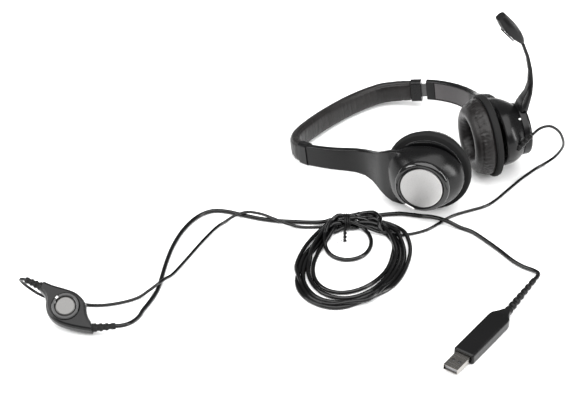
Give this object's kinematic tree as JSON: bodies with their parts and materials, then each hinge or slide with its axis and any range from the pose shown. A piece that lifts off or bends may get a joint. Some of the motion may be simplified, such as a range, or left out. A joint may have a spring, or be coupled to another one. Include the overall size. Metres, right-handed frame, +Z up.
{
  "type": "office headset",
  "caption": "Wired stereo office headset with padded band, sliding arms, swivel ear cups, turning microphone boom and an in-line volume control on its USB cord.",
  "frame": {"origin": "middle of the headset's base where it lies on the table, measured without the free cord and what is on it", "axes": "+X from the crown of the band towards the foot of the ear cups, +Y from the near cup to the far cup, +Z up"},
  "size_m": [0.3027, 0.4435, 0.1433],
  "materials": {
    "satin_black": "satin moulded",
    "gloss_black": "glossy moulded",
    "matte_black": "fine matt moulded",
    "leatherette": "soft leatherette over foam",
    "foam": "acoustic foam",
    "brushed_silver": "brushed",
    "spring_steel": "plain",
    "nickel": "nickel plated",
    "cord_rubber": "satin cord jacket",
    "white_print": "printed",
    "driver_grey": "plain"
  },
  "bodies": {
    "far_yoke": {"yoke_far": "satin_black", "arm_cover_far": "matte_black", "slide_strip_far": "spring_steel", "swivel_pin_far": "spring_steel", "badge_far": "brushed_silver", "cord_gland": "cord_rubber", "cord_thin_to_coil": "cord_rubber", "cord_thin_to_pod": "cord_rubber", "cord_thick_to_coil": "cord_rubber", "cord_thick_to_plug": "cord_rubber", "cord_coil": "cord_rubber", "twist_tie": "cord_rubber", "pod_lower_shell": "satin_black", "pod_upper_shell": "satin_black", "pod_boot_out": "cord_rubber", "pod_boot_in": "cord_rubber", "plug_body": "satin_black", "plug_shell": "nickel", "plug_tongue": "driver_grey", "plug_boot": "cord_rubber"},
    "headband": {"headband_cover": "leatherette", "headband_core": "spring_steel", "collar_near": "satin_black", "collar_far": "satin_black"},
    "near_yoke": {"yoke_near": "satin_black", "arm_cover_near": "matte_black", "slide_strip_near": "spring_steel", "swivel_pin_near": "spring_steel", "badge_near": "brushed_silver", "trim_ring_near": "gloss_black", "ring_inlay_near": "brushed_silver"},
    "near_cup": {"cup_ring_near": "matte_black", "baffle_near": "matte_black", "foam_disc_near": "foam", "driver_near": "driver_grey", "cup_back_near": "gloss_black", "ear_pad_near": "leatherette"},
    "far_cup": {"cup_ring_far": "matte_black", "baffle_far": "matte_black", "foam_disc_far": "foam", "driver_far": "driver_grey", "cup_back_far": "gloss_black", "ear_pad_far": "leatherette"},
    "mic_boom": {"mic_boom": "satin_black", "mic_housing": "satin_black", "mic_grille": "matte_black", "mic_capsule": "spring_steel"},
    "volume_dial": {"volume_dial": "gloss_black", "dial_mark": "white_print"},
    "mute_button": {"mute_button": "brushed_silver"}
  },
  "joints": [
    {"name": "far_arm_slide", "type": "slide", "parent": "far_yoke", "child": "headband", "axis": [-0.7732, -0.6198, -0.1343], "range_m": [-0.004, 0.012]},
    {"name": "near_arm_slide", "type": "slide", "parent": "headband", "child": "near_yoke", "axis": [0.9554, -0.2444, 0.1659], "range_m": [0, 0.012]},
    {"name": "near_cup_swivel", "type": "hinge", "parent": "near_yoke", "child": "near_cup", "pos_m": [0.05819, -0.05154, 0.03595], "axis": [-0.1711, 0, 0.9853], "range_deg": [-4, 2]},
    {"name": "far_cup_swivel", "type": "hinge", "parent": "far_yoke", "child": "far_cup", "pos_m": [0.05819, 0.04044, 0.03595], "axis": [0.1711, 0, -0.9853], "range_deg": [-4, 4]},
    {"name": "boom_turn", "type": "hinge", "parent": "far_yoke", "child": "mic_boom", "pos_m": [0.06767, 0.05683, 0.0376], "axis": [0.4986, 0.8625, 0.0866], "range_deg": [-90, 45]},
    {"name": "volume_turn", "type": "hinge", "parent": "far_yoke", "child": "volume_dial", "pos_m": [-0.03316, -0.35116, 0.01939], "axis": [0.3661, -0.3623, 0.8572], "range_deg": [-135, 135]},
    {"name": "mute_press", "type": "slide", "parent": "far_yoke", "child": "mute_button", "axis": [-0.3661, 0.3623, -0.8572], "range_m": [0, 0.0008], "stiffness_N_per_m": 1500}
  ]
}
